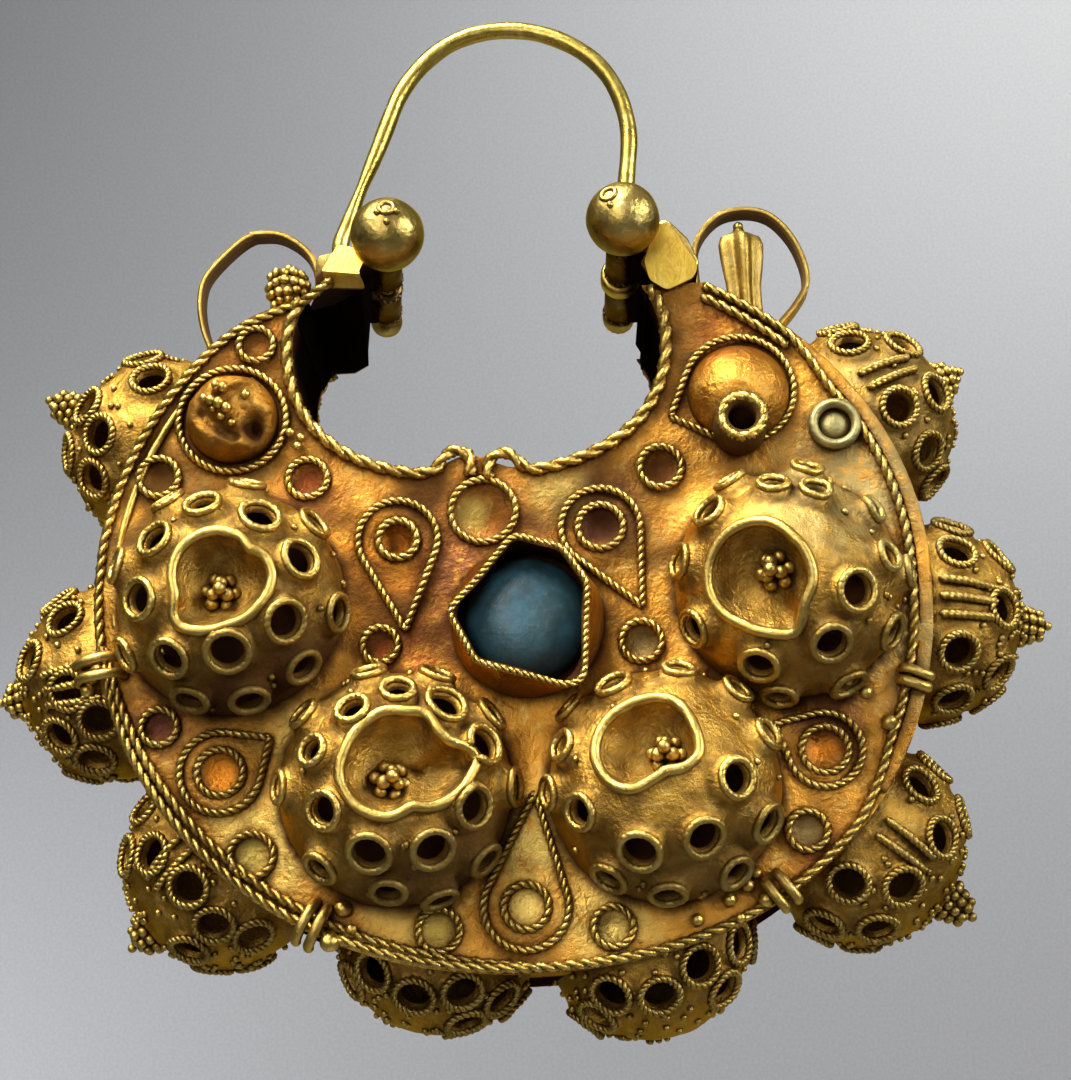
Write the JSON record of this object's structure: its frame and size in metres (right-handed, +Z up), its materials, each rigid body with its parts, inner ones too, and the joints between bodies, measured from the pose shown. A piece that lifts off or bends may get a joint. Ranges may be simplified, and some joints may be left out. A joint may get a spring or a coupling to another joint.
{
  "type": "filigree earring",
  "caption": "Crescent-shaped hollow gold earring with openwork domes, wire ornament, a turquoise in a tall bezel and a hinged wire ear hoop.",
  "frame": {"origin": "where the earring hangs: the underside of the wire at the top of the ear hoop", "axes": "+X to the right seen from the front, +Z up, and the front with the stone faces -Y"},
  "size_m": [0.0473, 0.0195, 0.0494],
  "materials": {
    "sheet_gold": "worn sheet gold with red tarnish",
    "openwork_gold": "worn gold with dark hollows",
    "wire_gold": "worn rope wire",
    "polished_gold": "polished",
    "hoop_gold": "drawn wire, worn",
    "turquoise": "polished, stained"
  },
  "bodies": {
    "crescent": {"front_dome_1": "openwork_gold", "front_dome_2": "openwork_gold", "front_dome_3": "openwork_gold", "front_dome_4": "openwork_gold", "back_dome_1": "openwork_gold", "back_dome_2": "openwork_gold", "back_dome_3": "openwork_gold", "back_dome_4": "openwork_gold", "belt_dome_1": "openwork_gold", "belt_dome_2": "openwork_gold", "belt_dome_3": "openwork_gold", "belt_dome_4": "openwork_gold", "belt_dome_5": "openwork_gold", "belt_dome_6": "openwork_gold", "belt_dome_7": "openwork_gold", "belt_dome_8": "openwork_gold", "belt_cone_left": "openwork_gold", "belt_cone_right": "openwork_gold", "case": "sheet_gold", "front_horn_dome_left": "sheet_gold", "front_horn_dome_right": "sheet_gold", "ring_collar": "sheet_gold", "back_horn_dome_left": "sheet_gold", "back_horn_dome_right": "sheet_gold", "bezel": "sheet_gold", "back_boss": "sheet_gold", "belt_loop_left": "sheet_gold", "belt_loop_right": "sheet_gold", "rim_loop_1": "wire_gold", "rim_loop_2": "wire_gold", "rim_loop_3": "wire_gold", "rim_loop_4": "wire_gold", "hinge_pin": "polished_gold", "catch_pin": "polished_gold", "horn_cap_left": "polished_gold", "horn_cap_right": "polished_gold", "turquoise": "turquoise"},
    "hoop": {"ear_hoop": "hoop_gold"}
  },
  "joints": [
    {"name": "hoop_hinge", "type": "hinge", "parent": "crescent", "child": "hoop", "pos_m": [0.005, 0, -0.01298], "axis": [0, 1, 0], "range_deg": [0, 45]}
  ]
}
